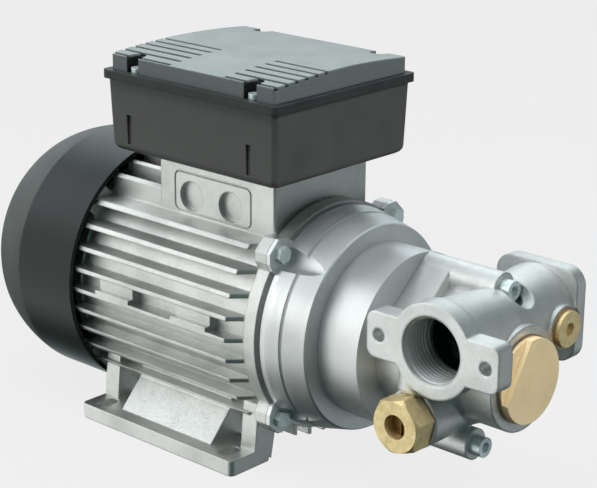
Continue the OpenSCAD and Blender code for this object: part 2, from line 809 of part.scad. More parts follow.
// The gasket path inside the rim of the box
module lid_gasket() {
    color("#1f2122") on_shaft() at_box() translate([0, 0, box_h - seal_t]) linear_extrude(seal_t)
        difference() {
            intersection() {
                rounded(box_w - 2 * box_wall - 0.3, box_len - 2 * box_wall - 0.3, 1.5);
                union() {
                    difference() {
                        square([box_w, box_len], center = true);
                        rounded(box_w - 2 * box_wall - 3.5, box_len - 2 * box_wall - 3.5, 1);
                    }
                    at_lid_screws() circle(lid_boss_r + 2.1);
                }
            }
            at_lid_screws() circle(lid_boss_r + 0.3);
        }
}

module terminal_lid() {
    color("#454645") on_shaft() at_box() translate([0, 0, box_h]) difference() {
        union() {
            linear_extrude(rim_h) rounded(box_w + 2 * rim_out, box_len + 2 * rim_out, box_corner_r);
            crowned(0, lid_corner_r);
        }
        difference() {
            translate([0, 0, -eps]) crowned(box_wall, 1);
            translate([0, 0, -1]) at_lid_screws() cylinder(r = lid_boss_r + 2.5, h = 30);
        }
        at_lid_screws() {
            translate([0, 0, -1]) cylinder(r = 2.2, h = 20);
            translate([0, 0, rim_h]) cylinder(r = 4.4, h = 14);
        }
        for (x = [-1, 1], s = [-1, 1]) translate([x * (lid_screw_x + 5), s * lid_screw_s, rim_h + 7])
            cube([10, 8.8, 14], center = true);
        vents();
    }
}

// The block under the lid's cambered top, smaller by a wall all round
module crowned(wall, r) {
    top = rim_h + lid_rise + lid_crown - wall;
    intersection() {
        linear_extrude(top + 1) rounded(2 * (lid_half_w - wall), 2 * (lid_half_len - wall), r);
        rotate([90, 0, 0]) translate([0, 0, -lid_half_len - 1]) linear_extrude(2 * lid_half_len + 2)
            intersection() {
                translate([-lid_half_w - 1, -1]) square([2 * lid_half_w + 2, top + 2]);
                translate([0, top - crown_r]) circle(crown_r);
            }
    }
}

// Two groups of air slots that run out at the ends of the lid top
module vents() {
    for (k = [0:vent_n - 1]) let (x = vent_first_x - k * vent_pitch,
        top = rim_h + lid_rise + lid_crown * (1 - pow(x / lid_half_w, 2))) {
        translate([x - vent_w / 2, lid_half_len - vent_front_len, top - vent_depth])
            cube([vent_w, vent_front_len + 1, 2 * vent_depth]);
        translate([x - vent_w / 2, -lid_half_len - 1, top - vent_depth])
            cube([vent_w, vent_rear_len + 1, 2 * vent_depth]);
    }
}

module lid_screws() {
    color("#c8ccd0") on_shaft() at_box() at_lid_screws() translate([0, 0, box_h + rim_h]) {
        cylinder(r = 3.4, h = 2.6);
        translate([0, 0, -rim_h - 12]) cylinder(r = lid_pilot_r - seat_gap, h = rim_h + 12 + eps);
    }
}

module terminal_block() {
    color("#8a2f23") on_shaft() at_box() translate([block_x, 0, box_wall]) difference() {
        union() {
            translate([-11, -22, 0]) cube([22, 44, 9]);
            for (s = [-22, -8.2, 5.6, 19.4]) translate([-11, s, 8]) cube([22, 2.6, 6]);
        }
        for (x = [-5.5, 5.5], s = [-13, 0.8, 14.6]) translate([x, s, 4]) cylinder(r = 2 + seat_gap, h = 20);
    }
}

module terminal_studs() {
    color("#c8a24a") on_shaft() at_box() translate([block_x, 0, box_wall])
        for (x = [-5.5, 5.5], s = [-13, 0.8, 14.6]) translate([x, s, 0]) {
            translate([0, 0, 4 + seat_gap]) cylinder(r = 2, h = 13);
            translate([0, 0, 9]) cylinder(r = 4, h = 3, $fn = 6);
        }
}

module capacitor() {
    color("#d8d8d4") on_shaft() at_box() translate([cap_x, -cap_len / 2, box_wall + cap_r]) rotate([-90, 0, 0]) {
        cylinder(r = cap_r, h = cap_len);
        for (x = [-5, 5]) translate([x, 0, cap_len - 1]) cylinder(r = 1.5, h = 8);
    }
}
cap_r = 15;
cap_len = 56;

module capacitor_strap() {
    color("#7b8084") on_shaft() at_box() translate([cap_x, 0, box_wall]) rotate([90, 0, 0])
        translate([0, 0, -5]) linear_extrude(10) difference() {
            union() {
                translate([0, cap_r]) circle(cap_r + 1.6);
                translate([-cap_r - 1.6, 0]) square([2 * cap_r + 3.2, cap_r]);
                translate([-cap_r - 7, 0]) square([cap_r + 7, 1.6]);
            }
            translate([0, cap_r]) circle(cap_r + seat_gap);
            translate([-cap_r - seat_gap, -1]) square([2 * cap_r + 2 * seat_gap, cap_r + 1]);
            translate([-2 * cap_r, -5]) square([4 * cap_r, 5]);
        }
}

module shaft_seal() {
    color("#3a2a22") on_shaft() translate([0, 0, seal_s]) rotate_extrude()
        polygon([[journal_r + run_gap, 2.4], [journal_r + 1.6, 0.6], [journal_r + 2.4, 5.4],
            [seal_r - 1.6, 5.4], [seal_r - 1.6, 0], [seal_r - seat_gap, 0], [seal_r - seat_gap, seal_w],
            [journal_r + 1, seal_w], [journal_r + run_gap, 3]]);
}

module gear_housing() {
    color("#a9adb0") on_shaft() difference() {
        union() {
            rod(housing_r, shield_front, head_s);
            translate(screw_at[1]) rod(screw_r + 3.4, shield_front, head_s);
            rod(register_r - seat_gap, shield_front - register_len, shield_front + 1);
        }
        rod(seal_r, shield_front - register_len - 1, seal_s + seal_w + seat_gap);
        rod(bush_r + seat_gap, seal_s + seal_w - 1, gear_s - end_gap);
        rod(drive_r + run_gap + 1, seal_s + seal_w, gear_s);
        translate([0, head_y, 0]) rod(outer_rotor_r + run_gap, gear_s - end_gap, head_s + 1);
        translate([0, head_y, head_s - 1.4]) linear_extrude(3) difference() {
            circle(oring_r + oring_groove);
            circle(oring_r - oring_groove);
        }
        for (at = screw_at) translate(at) rod(screw_r + 0.2, shield_front - 1, head_s + 1);
    }
}
oring_r = (outer_rotor_r + barrel_r) / 2 + 0.35;
oring_groove = 1.1;

module pump_bush() {
    color("#b98b4a") on_shaft()
        tube(bush_r, drive_r + run_gap, seal_s + seal_w + 0.6, gear_s - 2 * end_gap);
}

// A point of the inner rotor: the envelope of the outer teeth as both rotors turn
function lobe(t, g) = let (
    n = outer_teeth, k = tooth_pitch_r / (ecc * n),
    w = atan2(sin((1 - n) * t), k - cos((1 - n) * t)))
    [tooth_pitch_r * cos(t) - (tooth_r + g) * cos(t + w) - ecc * cos(n * t),
        -tooth_pitch_r * sin(t) + (tooth_r + g) * sin(t + w) + ecc * sin(n * t)];

module inner_rotor() {
    steps = 40 * inner_teeth;
    // Brings the points closer together in the hollows between the lobes
    function turn(u) = u - 0.85 * 180 / PI / inner_teeth * sin(inner_teeth * u);
    color("#5f6468") on_shaft() translate([0, 0, gear_s]) difference() {
        linear_extrude(gear_w) rotate(90)
            polygon([for (i = [0:steps - 1]) lobe(turn(i * 360 / steps), mesh_gap)]);
        translate([0, 0, -1]) cylinder(r = drive_r + seat_gap, h = gear_w + 2);
        translate([-key_w / 2 - seat_gap, 0, -1]) cube([key_w + 2 * seat_gap, key_top + 0.2, gear_w + 2]);
    }
}

module outer_rotor() {
    color("#73787c") on_shaft() translate([0, head_y, gear_s]) linear_extrude(gear_w) difference() {
        circle(outer_rotor_r);
        difference() {
            circle(root_r);
            for (i = [0:outer_teeth - 1]) rotate(90 + i * 360 / outer_teeth)
                translate([tooth_pitch_r, 0]) circle(tooth_r);
        }
    }
}

module drive_key() {
    color("#8b9094") on_shaft()
        translate([-key_w / 2, drive_r - key_bed + seat_gap, key_s])
            cube([key_w, key_top - drive_r + key_bed - seat_gap, key_len]);
}

module housing_oring() {
    color("#191a1b") on_shaft() translate([0, head_y, head_s - 0.7]) rotate_extrude()
        translate([oring_r, 0]) rounded(2 * oring_groove - 0.2, 1.3, 0.5);
}

// A banana-shaped passage from the rotors towards a port
module passage(side) {
    translate([0, head_y, head_s - 1]) rotate(side > 0 ? -passage_half_a : 180 - passage_half_a)
        rotate_extrude(angle = 2 * passage_half_a) translate([passage_in_r, 0])
            square([passage_out_r - passage_in_r, passage_len + 1]);
}

// The flared neck behind a port flange
module neck(side, r1) {
    translate([0, port_y, port_at_s]) along_x(side)
        cylinder(r1 = neck_mid_r, r2 = r1, h = port_x - 4);
}

// Both necks, the two flanges, the screw bosses and the barrel
module head_body() {
    translate([0, head_y, 0]) {
        rod(barrel_r, head_s, nose_s - nose_ring_len);
        translate([0, 0, nose_s - nose_ring_len]) cylinder(r1 = barrel_r, r2 = nose_r, h = 8);
        rod(nose_r, nose_s - nose_ring_len + 8, nose_s);
    }
    for (at = screw_at) {
        translate(at) rod(screw_boss_r, head_s, screw_seat_s);
        translate([0, 0, head_s]) linear_extrude(screw_boss_len - 12)
            belt([0, head_y], barrel_r - 4, [0, head_y] + (at - [0, head_y]) * 0.82, 5);
    }
    translate([0, 0, head_s]) linear_extrude(screw_web_len)
        belt([0, head_y], barrel_r - 0.5, screw_at[0], screw_boss_r - 0.4);
    neck(-1, flange_r - 0.4);
    neck(1, outlet_side / 2 - 0.5);
    translate([-port_x, port_y, port_at_s]) rotate([0, 90, 0]) linear_extrude(ear_t) inlet_outline();
    translate([port_x - outlet_t, port_y, port_at_s]) rotate([0, 90, 0]) linear_extrude(outlet_t)
        rounded(outlet_side, outlet_side, 9);
    translate([0, valve_y, valve_at_s]) along_x(-1) cylinder(r = valve_boss_r, h = valve_face_x);
    translate([riser_pipe_r - port_x, valve_y, riser_pipe_s]) rotate([-90, 0, 0])
        cylinder(r = riser_pipe_r, h = port_y - valve_y);
    translate([gauge_x, gauge_y, 0]) rod(gauge_boss_r, port_at_s, gauge_face_s);
}

// The inlet flange seen from the left: a round middle with two ears
module inlet_outline() {
    circle(flange_r);
    rounded(ear_span, ear_w, 5);
}

module pump_head() {
    color("#b5b9bc") on_shaft() difference() {
        head_body();
        for (side = [-1, 1]) {
            passage(side);
            translate([side * port_end_x, port_y, port_at_s]) along_x(side) {
                cylinder(r = side < 0 ? port_bore_r[0] : port_bore_r[1], h = port_x);
                translate([0, 0, port_x - port_end_x - port_depth])
                    cylinder(r = port_r, h = port_depth + 1);
            }
        }
        for (s = [-1, 1]) translate([-port_x - 1, port_y, port_at_s + s * ear_pitch / 2]) rotate([0, 90, 0])
            cylinder(r = ear_hole_r, h = ear_t + 2);
        for (at = screw_at) translate(at) {
            rod(screw_r + 0.3, head_s - 1, screw_seat_s + 1);
            rod(screw_spot_r, screw_seat_s, screw_seat_s + 40);
        }
        translate([0, head_y, 0]) rod(nose_bore_r, nose_s - nose_bore_len, nose_s + 1);
        valve_bores();
        translate([gauge_x, gauge_y, 0]) rod(gauge_bore_r, gauge_face_s - gauge_bore_len, gauge_face_s + 1);
        translate([gauge_x, gauge_y, 0]) rod(2, port_at_s, gauge_face_s);
        translate([gauge_x, gauge_y, 0]) rod(gauge_boss_r + 0.3, gauge_face_s, gauge_face_s + 10);
    }
}

// The stepped bore of the relief valve with its feed and return holes
module valve_bores() {
    translate([0, valve_y, valve_at_s]) {
        translate([-valve_seat_x, 0, 0]) along_x(-1) cylinder(r = valve_bore_r, h = port_x);
        translate([nut_thread_len - valve_face_x, 0, 0]) along_x(-1) cylinder(r = nut_thread_r, h = port_x);
        translate([-valve_seat_x - 1, 0, 0]) along_x(1) cylinder(r = valve_seat_r, h = valve_seat_x + 13);
        translate([feed_x, 0, 0]) rotate([-90, 0, 0]) cylinder(r = 3, h = 14);
    }
    translate([-return_x, valve_y, valve_at_s + 0.2]) rotate([-90, 0, 0])
        cylinder(r = return_r, h = port_y - valve_y - 1);
    translate([-valve_face_x, valve_y, valve_at_s]) along_x(-1) cylinder(r = valve_boss_r + 0.6, h = port_x);
}
feed_x = 8;
return_x = 28;
return_r = 2.6;

// A socket-head screw standing on z = 0 with its shank below
module socket_screw(r, shank, head_r, head_h, key_af) {
    difference() {
        cylinder(r = head_r, h = head_h);
        translate([0, 0, head_h / 2]) cylinder(r = key_af / sqrt(3), h = head_h, $fn = 6);
    }
    translate([0, 0, -shank]) cylinder(r = r, h = shank + eps);
}

module pump_screws() {
    color("#aab2b0") on_shaft() for (at = screw_at) translate([at[0], at[1], screw_seat_s])
        socket_screw(screw_r - seat_gap, screw_seat_s - shield_front + 9, screw_head_r, screw_head_h, 5);
}

module front_plug() {
    color("#c0a56e") on_shaft() translate([0, head_y, nose_s]) {
        difference() {
            cylinder(r = plug_r, h = plug_t);
            rotate(plug_flat_a) translate([plug_flat, -plug_r, plug_t - plug_flat_t])
                cube([plug_r, 2 * plug_r, plug_t]);
        }
        translate([0, 0, -nose_bore_len + 2]) cylinder(r = nose_bore_r - seat_gap, h = nose_bore_len);
    }
}

module front_plug_seal() {
    color("#b0653a") on_shaft() translate([0, head_y, 0])
        tube(plug_r + 0.7, plug_r + seat_gap, nose_s, nose_s + 0.8);
}

module relief_nut() {
    color("#c8a55c") on_shaft() translate([-valve_face_x, valve_y, valve_at_s]) along_x(-1) difference() {
        union() {
            translate([0, 0, washer_t]) intersection() {
                rotate(15) cylinder(r = nut_af / sqrt(3), h = nut_len, $fn = 6);
                cylinder(r1 = nut_af / 2 + nut_len, r2 = nut_af / 2, h = nut_len);
            }
            translate([0, 0, 1 - nut_thread_len]) cylinder(r = nut_thread_r - seat_gap, h = nut_thread_len + 1);
        }
        translate([0, 0, -nut_thread_len]) cylinder(r = nut_bore_r, h = nut_len + nut_thread_len + 2);
    }
}

module relief_nut_seal() {
    color("#8f5a35") on_shaft() translate([-valve_face_x, valve_y, valve_at_s]) along_x(-1)
        tube(nut_af / 2, nut_thread_r + seat_gap, 0, washer_t);
}

module relief_adjuster() {
    color("#a0522d") on_shaft() translate([-spring_seat_x, valve_y, valve_at_s]) along_x(-1) difference() {
        cylinder(r = adjuster_r, h = adjuster_len);
        translate([-0.8, -adjuster_r, adjuster_len - 1.6]) cube([1.6, 2 * adjuster_r, 3]);
    }
}

module relief_piston() {
    flute_r = 1.2;
    color("#9ca1a5") on_shaft() translate([-valve_seat_x - seat_gap, valve_y, valve_at_s])
        along_x(-1) difference() {
            cylinder(r = piston_r, h = piston_len);
            translate([0, 0, piston_len - 4]) cylinder(r = piston_r - 1.2, h = 5);
            for (a = [0:90:270]) rotate(a) translate([piston_r, 0, -1]) cylinder(r = flute_r, h = piston_len + 2);
        }
}

// Rings of points carried round the coil, eight to the wire and sixteen to the turn
module relief_spring() {
    sides = 8;
    turn_steps = 16;
    steps = spring_turns * turn_steps;
    rise = (spring_x1 - spring_x0) / steps;
    points = [for (i = [0:steps], j = [0:sides - 1]) let (a = i * 360 / turn_steps, b = j * 360 / sides,
        r = spring_r + wire_r * cos(b)) [r * cos(a), r * sin(a), spring_x0 + i * rise + wire_r * sin(b)]];
    walls = [for (i = [0:steps - 1], j = [0:sides - 1]) let (k = (j + 1) % sides)
        [i * sides + j, i * sides + k, (i + 1) * sides + k, (i + 1) * sides + j]];
    color("#9aa0a4") on_shaft() translate([0, valve_y, valve_at_s]) along_x(-1)
        polyhedron(points, concat([[for (j = [sides - 1:-1:0]) j]], walls,
            [[for (j = [0:sides - 1]) steps * sides + j]]), convexity = 10);
}

module gauge_plug() {
    color("#c9a368") on_shaft() translate([gauge_x, gauge_y, gauge_face_s]) {
        difference() {
            cylinder(r = gauge_r, h = gauge_t);
            translate([0, 0, 0.5]) cylinder(r = 3 / cos(30), h = gauge_t, $fn = 6);
        }
        translate([0, 0, -gauge_spigot]) cylinder(r = gauge_bore_r - seat_gap, h = gauge_spigot + eps);
    }
}

module gauge_plug_seal() {
    color("#b0653a") on_shaft() translate([gauge_x, gauge_y, gauge_face_s])
        tube(gauge_boss_r - 0.6, gauge_r + seat_gap, 0, 0.6);
}

motor_frame();
stator_core();
stator_windings();
rotor_core();
rotor_cage();
shaft();
front_end_shield();
rear_end_shield();
shield_bolts();
rear_shield_screws();
front_bearing_outer();
front_bearing_inner();
front_bearing_balls();
rear_bearing_outer();
rear_bearing_inner();
rear_bearing_balls();
wave_washer();
fan();
fan_clip();
fan_cover();
box_gasket();
terminal_box();
terminal_box_screws();
terminal_lid();
lid_gasket();
lid_screws();
terminal_block();
terminal_studs();
capacitor();
capacitor_strap();
shaft_seal();
gear_housing();
pump_bush();
inner_rotor();
outer_rotor();
drive_key();
housing_oring();
pump_head();
pump_screws();
front_plug();
front_plug_seal();
relief_nut();
relief_nut_seal();
relief_adjuster();
relief_spring();
relief_piston();
gauge_plug();
gauge_plug_seal();
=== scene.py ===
"""An electric gear pump: a finned foot motor, its fan cover and terminal box, and the pump on its nose.

Every piece is in metres in the part's own frame: Z up, the shaft along Y, the pump towards -Y.
The helper spot() takes millimetres measured from the shaft: across, up and along to the pump.
"""

import json
import math

import bpy
import numpy as np
from mathutils import Matrix, Vector


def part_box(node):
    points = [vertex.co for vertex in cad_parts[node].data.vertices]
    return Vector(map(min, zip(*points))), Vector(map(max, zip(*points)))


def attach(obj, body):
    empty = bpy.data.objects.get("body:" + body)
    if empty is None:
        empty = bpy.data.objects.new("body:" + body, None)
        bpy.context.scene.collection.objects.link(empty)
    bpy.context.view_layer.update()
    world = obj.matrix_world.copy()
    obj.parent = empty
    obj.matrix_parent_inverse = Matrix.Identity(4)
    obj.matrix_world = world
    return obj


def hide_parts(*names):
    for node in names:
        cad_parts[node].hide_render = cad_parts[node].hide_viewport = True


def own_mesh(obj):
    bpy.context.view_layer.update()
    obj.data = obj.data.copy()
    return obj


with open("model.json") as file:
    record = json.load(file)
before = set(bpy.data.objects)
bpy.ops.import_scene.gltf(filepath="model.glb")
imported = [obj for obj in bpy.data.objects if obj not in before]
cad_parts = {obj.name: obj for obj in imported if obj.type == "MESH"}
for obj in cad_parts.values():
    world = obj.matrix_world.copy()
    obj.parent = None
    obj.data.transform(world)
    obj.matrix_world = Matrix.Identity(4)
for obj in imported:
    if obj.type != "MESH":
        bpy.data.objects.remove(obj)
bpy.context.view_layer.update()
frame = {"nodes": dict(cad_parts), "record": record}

# The shaft's height, and the ports' place up from the shaft and along to the pump, in millimetres
SHAFT_Z = 71.0
PORT_UP = 18.1
PORT_ALONG = 160.8
MM = 0.001

# The camera that took the photograph: its angles in degrees, its focal length and picture width in pixels,
# and the point that it looks at, from this far away, in metres
AZIMUTH = -47.87
ELEVATION = 18.11
ROLL = 0.44
FOCAL_PIXELS = 1807.13
PICTURE_PIXELS = 597.0
SENSOR_MM = 36.0
LOOK_AT = (0.0, -0.040, 0.10269)
DISTANCE = 0.91879

# The lid, in metres: the height of its middle, its camber, where its side starts above the rim,
# and the middle and the reach of its air slots
LID_TOP = 0.1987
LID_CAMBER = 1.012
LID_SIDE = (0.1884, 0.1888)
LID_MIDDLE_Y = -0.012
VENT_REACH = (0.0482, 0.0556)

# Where the fan cover's dome starts along the shaft, and the part of a port's bore darkened with painted
# shade, in metres
DOME_Y = (0.0995, 0.1012)
BORE_EDGE = (0.0150, 0.0158)
BORE_DEEP = (0.0250, 0.0400)


# Camera at the photograph's angle
def aim_camera():
    """Looks at a point near the terminal box's foot, from the photograph's azimuth and elevation."""
    a, e, roll = map(math.radians, (AZIMUTH, ELEVATION, ROLL))
    back = Vector((math.sin(a) * math.cos(e), -math.cos(a) * math.cos(e), math.sin(e)))
    right = Vector((math.cos(a), math.sin(a), 0.0))
    up = back.cross(right)
    side = right * math.cos(roll) + up * math.sin(roll)
    head = up * math.cos(roll) - right * math.sin(roll)
    data = bpy.data.cameras.new("camera")
    data.sensor_width = SENSOR_MM
    data.lens = FOCAL_PIXELS * SENSOR_MM / PICTURE_PIXELS
    data.clip_start = 0.05
    data.clip_end = 20.0
    camera = bpy.data.objects.new("camera", data)
    bpy.context.scene.collection.objects.link(camera)
    turn = Matrix((side, head, back)).transposed().to_4x4()
    camera.matrix_world = Matrix.Translation(Vector(LOOK_AT) + back * DISTANCE) @ turn
    bpy.context.scene.camera = camera


aim_camera()


# Materials
class Finish:
    """A material whose nodes are added one after another, read from Object coordinates."""

    def __init__(self, name, metallic=0.0, specular=0.5, coat=0.0, coat_rough=0.1):
        self.material = bpy.data.materials.new(name)
        self.material.use_nodes = True
        self.nodes = self.material.node_tree.nodes
        self.links = self.material.node_tree.links
        self.shader = self.nodes["Principled BSDF"]
        self.shader.inputs["Metallic"].default_value = metallic
        self.shader.inputs["Specular IOR Level"].default_value = specular
        if coat:
            self.shader.inputs["Coat Weight"].default_value = coat
            self.shader.inputs["Coat Roughness"].default_value = coat_rough
        self.place = self.add("ShaderNodeTexCoord").outputs["Object"]

    def add(self, kind, **values):
        """A new node, with its settings."""
        node = self.nodes.new(kind)
        for key, value in values.items():
            setattr(node, key, value)
        return node

    def wire(self, source, node, name):
        self.links.new(source, node.inputs[name])

    def noise(self, scale, detail=3.0, rough=0.55, stretch=(1, 1, 1), vector=None):
        """Noise from 0 to 1, by default on the piece's own place."""
        shift = self.add("ShaderNodeMapping")
        shift.inputs["Scale"].default_value = stretch
        self.wire(vector or self.place, shift, "Vector")
        node = self.add("ShaderNodeTexNoise")
        node.inputs["Scale"].default_value = scale
        node.inputs["Detail"].default_value = detail
        node.inputs["Roughness"].default_value = rough
        self.wire(shift.outputs["Vector"], node, "Vector")
        return node.outputs["Fac"]

    def spread(self, source, low, high, start=0.35, stop=0.65):
        """Goes from low to high while the source goes from start to stop, and holds outside that."""
        node = self.add("ShaderNodeMapRange")
        for name, value in zip(("From Min", "From Max", "To Min", "To Max"), (start, stop, low, high)):
            node.inputs[name].default_value = value
        self.wire(source, node, "Value")
        return node.outputs["Result"]

    def colours(self, source, stops):
        """A ramp of colours, each stop a (place, colour)."""
        node = self.add("ShaderNodeValToRGB")
        ramp = node.color_ramp
        while len(ramp.elements) < len(stops):
            ramp.elements.new(0.5)
        for element, (at, colour) in zip(ramp.elements, stops):
            element.position, element.color = at, (*colour, 1.0)
        self.wire(source, node, "Fac")
        return node.outputs["Color"]

    def blend(self, amount, one, two):
        """From colour one to colour two as the amount goes from 0 to 1."""
        node = self.add("ShaderNodeMix", data_type="RGBA", blend_type="MIX")
        self.wire(amount, node, "Factor")
        for name, value in (("A", one), ("B", two)):
            socket = [s for s in node.inputs if s.name == name and s.type == "RGBA"][0]
            if isinstance(value, tuple):
                socket.default_value = (*value, 1.0)
            else:
                self.links.new(value, socket)
        return [s for s in node.outputs if s.type == "RGBA"][0]

    def maths(self, kind, one, two=None):
        """One sum on sockets or numbers."""
        node = self.add("ShaderNodeMath", operation=kind)
        for at, value in enumerate((one, two)):
            if isinstance(value, (int, float)):
                node.inputs[at].default_value = value
            elif value is not None:
                self.links.new(value, node.inputs[at])
        return node.outputs[0]

    def axes(self):
        """The place's X, Y and Z."""
        split = self.add("ShaderNodeSeparateXYZ")
        self.wire(self.place, split, "Vector")
        return split.outputs["X"], split.outputs["Y"], split.outputs["Z"]

    def length(self, one, two):
        """The square root of the sum of two squares."""
        return self.maths("SQRT", self.maths("ADD", self.maths("MULTIPLY", one, one),
                                             self.maths("MULTIPLY", two, two)))

    def radius(self):
        """Distance from the shaft's line, with the place along it, as a vector."""
        x, y, z = self.axes()
        up = self.maths("SUBTRACT", z, SHAFT_Z * MM)
        join = self.add("ShaderNodeCombineXYZ")
        self.wire(self.length(up, x), join, "X")
        self.wire(y, join, "Y")
        return join.outputs["Vector"]

    def relief(self, heights, edge=0.0):
        """Bumps by each (height map, distance in mm, strength), over edges rounded by a bevel of edge mm."""
        normal = None
        if edge:
            bevel = self.add("ShaderNodeBevel", samples=6)
            bevel.inputs["Radius"].default_value = edge * MM
            normal = bevel.outputs["Normal"]
        for source, distance, strength in heights:
            bump = self.add("ShaderNodeBump")
            bump.inputs["Distance"].default_value = distance * MM
            bump.inputs["Strength"].default_value = strength
            self.wire(source, bump, "Height")
            if normal is not None:
                self.wire(normal, bump, "Normal")
            normal = bump.outputs["Normal"]
        self.wire(normal, self.shader, "Normal")

    def paint(self, colour, rough):
        """Wires up the colour and the roughness, which may be a number, and hands out the material."""
        self.wire(colour, self.shader, "Base Color")
        if isinstance(rough, float):
            self.shader.inputs["Roughness"].default_value = rough
        else:
            self.wire(rough, self.shader, "Roughness")
        return self.material


def tint(colour, gain):
    """The colour times a gain, at most 1."""
    return tuple(min(1.0, c * gain) for c in colour)


def cast_colour(f, colour):
    """Soft clouds and stains of a casting: its colour, and the noise of the sandy skin and of the stains."""
    cloud = f.noise(38, 4)
    skin = f.noise(900, 3)
    stain = f.noise(120, 5)
    base = f.colours(cloud, [(0.3, tint(colour, 0.86)), (0.5, colour), (0.7, tint(colour, 1.08))])
    base = f.blend(f.spread(stain, 0.0, 0.25, 0.45, 0.75), base, tint(colour, 0.72))
    return base, skin, stain


def cast_alloy(name, colour, rough=0.42, metallic=0.75, grain=0.35, edge=0.7):
    """Die-cast alloy: a sandy skin with soft cloudy stains and rounded edges."""
    f = Finish(name, metallic)
    base, skin, stain = cast_colour(f, colour)
    f.relief([(skin, 0.12, grain), (stain, 0.3, 0.15)], edge)
    return f.paint(base, f.spread(skin, rough - 0.07, rough + 0.1))


def pump_casting():
    """The pump head's sandblasted casting, with painted shade darkening it down in its two port bores."""
    f = Finish("cast pump head", 0.94)
    # painted shade: a near black colour down in the port bores, where shade falls
    painted_bore_shade = (0.09, 0.11, 0.11)
    base, skin, stain = cast_colour(f, (0.82, 0.83, 0.82))
    x, y, z = f.axes()
    along = f.maths("ADD", y, PORT_ALONG * MM)
    up = f.maths("SUBTRACT", z, (SHAFT_Z + PORT_UP) * MM)
    inside = f.spread(f.length(along, up), 1.0, 0.0, *BORE_EDGE)
    deep = f.spread(f.maths("ABSOLUTE", x), 1.0, 0.0, *BORE_DEEP)
    # the painted shade goes on deep inside each port's bore
    base = f.blend(f.maths("MULTIPLY", inside, deep), base, painted_bore_shade)
    f.relief([(skin, 0.12, 0.5), (stain, 0.3, 0.15)], 1.7)
    return f.paint(base, f.spread(skin, 0.38, 0.54))


def turned_alloy(name, colour, rough, metallic, edge=0.4):
    """Turned alloy: fine rings about the shaft left by the tool, on the same cloudy metal."""
    f = Finish(name, metallic)
    cloud = f.noise(30, 4)
    rings = f.noise(2600, 2, 0.6, (1, 1, 0), f.radius())
    base = f.colours(cloud, [(0.3, tint(colour, 0.9)), (0.5, colour), (0.7, tint(colour, 1.06))])
    f.relief([(rings, 0.05, 0.35), (f.noise(500, 2), 0.05, 0.15)], edge)
    return f.paint(base, f.spread(rings, rough - 0.06, rough + 0.1))


def moulded(name, colour, rough, grain=0.25, edge=0.5, specular=0.45):
    """Moulded plastic: a fine even grain with faint cloudiness."""
    f = Finish(name, 0.0, specular)
    skin = f.noise(1400, 2)
    cloud = f.noise(45, 3)
    base = f.colours(cloud, [(0.3, tint(colour, 0.85)), (0.7, tint(colour, 1.15))])
    f.relief([(skin, 0.06, grain)], edge)
    return f.paint(base, f.spread(cloud, rough - 0.05, rough + 0.06))


def machined(name, colour, rough, metallic=1.0, dull=0.8, edge=0.3, scale=220):
    """Machined metal: fine scratches, duller patches and slightly rounded edges."""
    f = Finish(name, metallic)
    cloud = f.noise(scale, 4)
    fine = f.noise(2500, 2)
    base = f.blend(f.spread(cloud, 0.0, 1.0, 0.4, 0.68), colour, tint(colour, dull))
    f.relief([(fine, 0.03, 0.25)], edge)
    return f.paint(base, f.spread(cloud, rough - 0.05, rough + 0.12))


def lid_plastic():
    """Dark plastic, paler on the lid's cambered top, whose height falls off as across squared, partly dust
    and partly a painted sheen, and with painted shade near black down in the air slots."""
    f = Finish("lid plastic", 0.0, 0.25)
    x, y, z = f.axes()
    bow = f.maths("MULTIPLY", f.maths("MULTIPLY", x, x), LID_CAMBER)
    depth = f.maths("SUBTRACT", f.maths("ADD", z, bow), LID_TOP)
    skin = f.noise(1400, 2)
    cloud = f.noise(60, 4)
    side = f.colours(cloud, [(0.3, (0.016, 0.019, 0.019)), (0.7, (0.024, 0.027, 0.027))])
    # the paler colour of the lid's top: partly dust, partly a painted sheen of the light falling on it
    dust_and_sheen = f.colours(cloud, [(0.3, (0.130, 0.150, 0.148)), (0.7, (0.158, 0.180, 0.177))])
    side = f.blend(f.spread(z, 0.0, 1.0, *LID_SIDE), side, (0.085, 0.098, 0.097))
    base = f.blend(f.spread(depth, 0.0, 1.0, -0.0008, -0.0003), side, dust_and_sheen)
    off = f.maths("ABSOLUTE", f.maths("SUBTRACT", y, LID_MIDDLE_Y))
    top = f.maths("MULTIPLY", f.maths("LESS_THAN", f.maths("ABSOLUTE", x), VENT_REACH[0]),
                  f.maths("LESS_THAN", off, VENT_REACH[1]))
    # painted shade: near black down in the air slots, where shade falls
    slot = f.maths("MULTIPLY", f.spread(depth, 1.0, 0.0, -0.0015, -0.0008), top)
    f.relief([(skin, 0.06, 0.3)], 0.5)
    return f.paint(f.blend(slot, base, (0.006, 0.007, 0.007)), 0.45)


def cover_plastic():
    """Glossy black plastic, with a duller grey on the dome behind the straight wall."""
    f = Finish("fan cover plastic", 0.0, 0.3, 0.05, 0.06)
    cloud = f.noise(50, 4)
    skin = f.noise(350, 2)
    wall = f.colours(cloud, [(0.3, (0.006, 0.008, 0.008)), (0.7, (0.009, 0.011, 0.011))])
    dome_grey = f.colours(cloud, [(0.3, (0.038, 0.042, 0.042)), (0.7, (0.052, 0.057, 0.056))])
    dome = f.spread(f.axes()[1], 0.0, 1.0, *DOME_Y)
    f.relief([(skin, 0.06, 0.25)], 0.6)
    return f.paint(f.blend(dome, wall, dome_grey), f.spread(dome, 0.12, 0.5, 0.0, 1.0))


